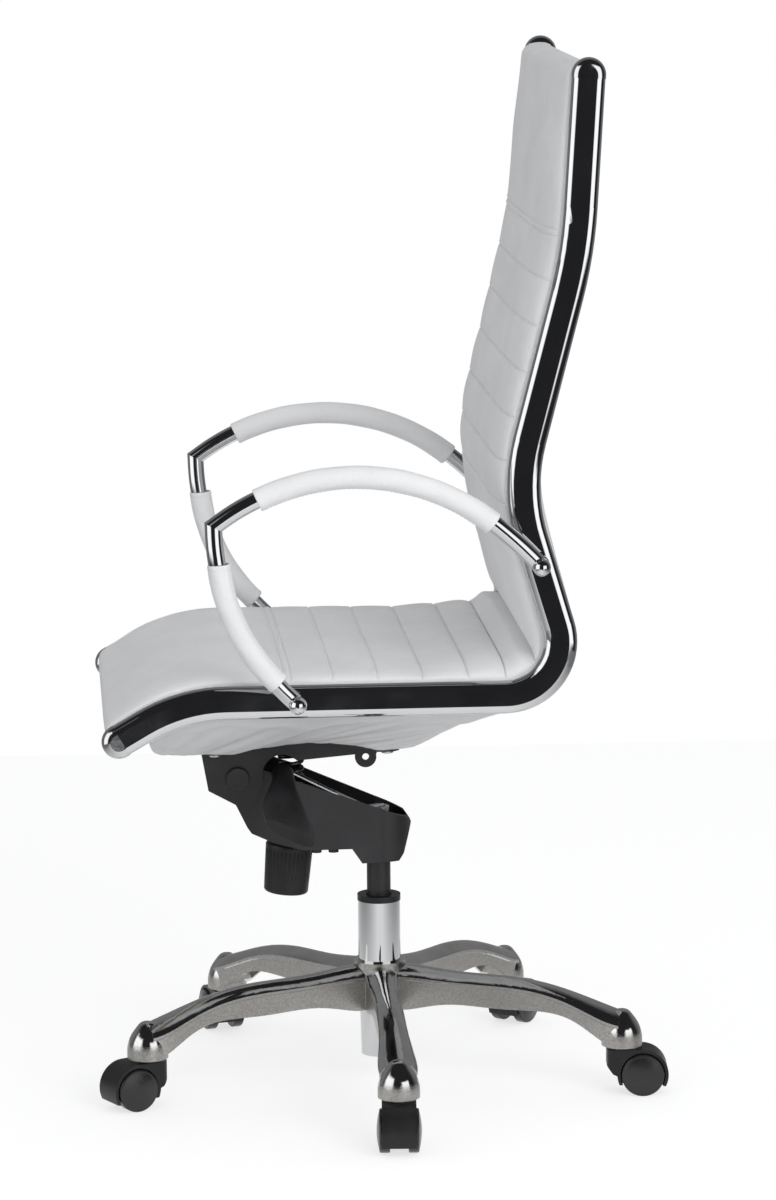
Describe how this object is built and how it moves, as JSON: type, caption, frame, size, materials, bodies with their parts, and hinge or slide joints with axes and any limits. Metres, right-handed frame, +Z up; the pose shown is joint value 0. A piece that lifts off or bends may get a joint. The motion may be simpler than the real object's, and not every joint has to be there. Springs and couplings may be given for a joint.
{
  "type": "swivel office chair",
  "caption": "High-backed swivel office chair with chromed side rails, padded seat and back, loop arms, tilting mechanism, gas lift and wheeled star base.",
  "frame": {"origin": "on the floor, under the axis of the gas lift", "axes": "+Z up along the gas lift; the chair faces -Y; +X is on the sitter's left"},
  "size_m": [0.6518, 0.6669, 1.2175],
  "materials": {
    "chrome": "mirror polished chrome plate",
    "chrome_plastic": "chromed plastic, slightly softer than the rails",
    "base_aluminium": "polished crowns, satin flanks",
    "white_leather": "fine-grained, soft sheen",
    "plywood": "bent ply, raw",
    "black_metal": "black satin powder coat",
    "black_plastic": "fine moulded grain",
    "gloss_black": "semi-gloss nylon",
    "white_nylon": "natural nylon",
    "spring_steel": "bright drawn steel",
    "zinc_steel": "zinc plated"
  },
  "bodies": {
    "base": {"base_star": "base_aluminium", "outer_tube": "chrome", "column_ring": "black_plastic", "guide_bush": "white_nylon", "thrust_bearing": "spring_steel", "caster_stems": "zinc_steel"},
    "column_core": {"piston_rod": "zinc_steel", "rod_clip": "spring_steel"},
    "mechanism": {"mechanism_housing": "black_metal", "pivot_pin": "black_metal", "pivot_bushes": "white_nylon", "tension_spring": "spring_steel", "piston_tube": "black_metal"},
    "spring_cup": {"spring_cup": "zinc_steel"},
    "knob": {"tension_knob": "black_plastic", "tension_screw": "zinc_steel"},
    "lock_slider": {"lock_slider": "white_nylon"},
    "lever": {"lever_wire": "zinc_steel", "lever_handle": "black_plastic"},
    "valve": {"valve_pin": "zinc_steel"},
    "seat": {"side_rail_left": "chrome", "side_rail_right": "chrome", "rail_end_caps": "chrome_plastic", "tie_tubes": "chrome", "inner_shell": "plywood", "seat_cushion": "white_leather", "back_cushion": "white_leather", "back_rear_cover": "white_leather", "seat_underside_cover": "white_leather", "seat_crossbars": "black_metal", "arm_left": "chrome", "arm_right": "chrome", "arm_pad_left": "white_leather", "arm_pad_right": "white_leather", "post_sleeve_left": "white_leather", "post_sleeve_right": "white_leather", "arm_collars": "chrome", "arm_screws": "chrome", "seat_plate": "black_metal", "plate_screws": "zinc_steel"},
    "caster_1": {"caster_hood_1": "black_plastic", "caster_axle_1": "zinc_steel"},
    "wheel_1a": {"caster_wheel_1a": "gloss_black"},
    "wheel_1b": {"caster_wheel_1b": "gloss_black"},
    "caster_2": {"caster_hood_2": "black_plastic", "caster_axle_2": "zinc_steel"},
    "wheel_2a": {"caster_wheel_2a": "gloss_black"},
    "wheel_2b": {"caster_wheel_2b": "gloss_black"},
    "caster_3": {"caster_hood_3": "black_plastic", "caster_axle_3": "zinc_steel"},
    "wheel_3a": {"caster_wheel_3a": "gloss_black"},
    "wheel_3b": {"caster_wheel_3b": "gloss_black"},
    "caster_4": {"caster_hood_4": "black_plastic", "caster_axle_4": "zinc_steel"},
    "wheel_4a": {"caster_wheel_4a": "gloss_black"},
    "wheel_4b": {"caster_wheel_4b": "gloss_black"},
    "caster_5": {"caster_hood_5": "black_plastic", "caster_axle_5": "zinc_steel"},
    "wheel_5a": {"caster_wheel_5a": "gloss_black"},
    "wheel_5b": {"caster_wheel_5b": "gloss_black"}
  },
  "joints": [
    {"name": "seat_swivel", "type": "hinge", "parent": "base", "child": "column_core", "pos_m": [0, 0, 0.2], "axis": [0, 0, 1], "continuous": true},
    {"name": "height_slide", "type": "slide", "parent": "column_core", "child": "mechanism", "axis": [0, 0, 1], "range_m": [-0.04, 0.06]},
    {"name": "seat_tilt", "type": "hinge", "parent": "mechanism", "child": "seat", "pos_m": [0, -0.1675, 0.38], "axis": [-1, 0, 0], "range_deg": [0, 15], "stiffness_Nm_per_rad": 240, "springref_deg": -22.92, "deforming": ["tension_spring"]},
    {"name": "knob_turn", "type": "hinge", "parent": "mechanism", "child": "knob", "pos_m": [0, -0.1073, 0.26], "axis": [0, 0.0872, 0.9962], "range_deg": [-360, 1080]},
    {"name": "tension_feed", "type": "slide", "parent": "mechanism", "child": "spring_cup", "axis": [0, 0.0872, 0.9962], "range_m": [-0.0025, 0.0075], "deforming": ["tension_spring"]},
    {"name": "tilt_lock", "type": "slide", "parent": "mechanism", "child": "lock_slider", "axis": [1, 0, 0], "range_m": [0, 0.006]},
    {"name": "lever_lift", "type": "hinge", "parent": "lock_slider", "child": "lever", "pos_m": [0.0555, -0.1154, 0.384], "axis": [0, -1, 0], "range_deg": [0, 5], "stiffness_Nm_per_rad": 3, "springref_deg": -8.59},
    {"name": "valve_press", "type": "slide", "parent": "mechanism", "child": "valve", "axis": [0, 0, -1], "range_m": [0, 0.0055], "stiffness_N_per_m": 300, "springref_m": -0.001},
    {"name": "caster_swivel_1", "type": "hinge", "parent": "base", "child": "caster_1", "pos_m": [0.2917, 0, 0.05], "axis": [0, 0, 1], "continuous": true},
    {"name": "wheel_spin_1a", "type": "hinge", "parent": "caster_1", "child": "wheel_1a", "pos_m": [0.31564, -0.00167, 0.025], "axis": [0.0698, 0.9976, 0], "continuous": true},
    {"name": "wheel_spin_1b", "type": "hinge", "parent": "caster_1", "child": "wheel_1b", "pos_m": [0.31564, -0.00167, 0.025], "axis": [0.0698, 0.9976, 0], "continuous": true},
    {"name": "caster_swivel_2", "type": "hinge", "parent": "base", "child": "caster_2", "pos_m": [0.09014, 0.27742, 0.05], "axis": [0, 0, 1], "continuous": true},
    {"name": "wheel_spin_2a", "type": "hinge", "parent": "caster_2", "child": "wheel_2a", "pos_m": [0.09181, 0.30136, 0.025], "axis": [-0.9976, 0.0698, 0], "continuous": true},
    {"name": "wheel_spin_2b", "type": "hinge", "parent": "caster_2", "child": "wheel_2b", "pos_m": [0.09181, 0.30136, 0.025], "axis": [-0.9976, 0.0698, 0], "continuous": true},
    {"name": "caster_swivel_3", "type": "hinge", "parent": "base", "child": "caster_3", "pos_m": [-0.23599, 0.17146, 0.05], "axis": [0, 0, 1], "continuous": true},
    {"name": "wheel_spin_3a", "type": "hinge", "parent": "caster_3", "child": "wheel_3a", "pos_m": [-0.25541, 0.18556, 0.025], "axis": [-0.5878, -0.809, 0], "continuous": true},
    {"name": "wheel_spin_3b", "type": "hinge", "parent": "caster_3", "child": "wheel_3b", "pos_m": [-0.25541, 0.18556, 0.025], "axis": [-0.5878, -0.809, 0], "continuous": true},
    {"name": "caster_swivel_4", "type": "hinge", "parent": "base", "child": "caster_4", "pos_m": [-0.23599, -0.17146, 0.05], "axis": [0, 0, 1], "continuous": true},
    {"name": "wheel_spin_4a", "type": "hinge", "parent": "caster_4", "child": "wheel_4a", "pos_m": [-0.25906, -0.17807, 0.025], "axis": [0.2756, -0.9613, 0], "continuous": true},
    {"name": "wheel_spin_4b", "type": "hinge", "parent": "caster_4", "child": "wheel_4b", "pos_m": [-0.25906, -0.17807, 0.025], "axis": [0.2756, -0.9613, 0], "continuous": true},
    {"name": "caster_swivel_5", "type": "hinge", "parent": "base", "child": "caster_5", "pos_m": [0.09014, -0.27742, 0.05], "axis": [0, 0, 1], "continuous": true},
    {"name": "wheel_spin_5a", "type": "hinge", "parent": "caster_5", "child": "wheel_5a", "pos_m": [0.10141, -0.29861, 0.025], "axis": [0.8829, 0.4695, 0], "continuous": true},
    {"name": "wheel_spin_5b", "type": "hinge", "parent": "caster_5", "child": "wheel_5b", "pos_m": [0.10141, -0.29861, 0.025], "axis": [0.8829, 0.4695, 0], "continuous": true}
  ],
  "couplings": [
    {"joint": "knob_turn", "follows": "tension_feed", "rad_per_m": 2513},
    {"joint": "valve_press", "follows": "lever_lift", "m_per_rad": 0.063}
  ]
}
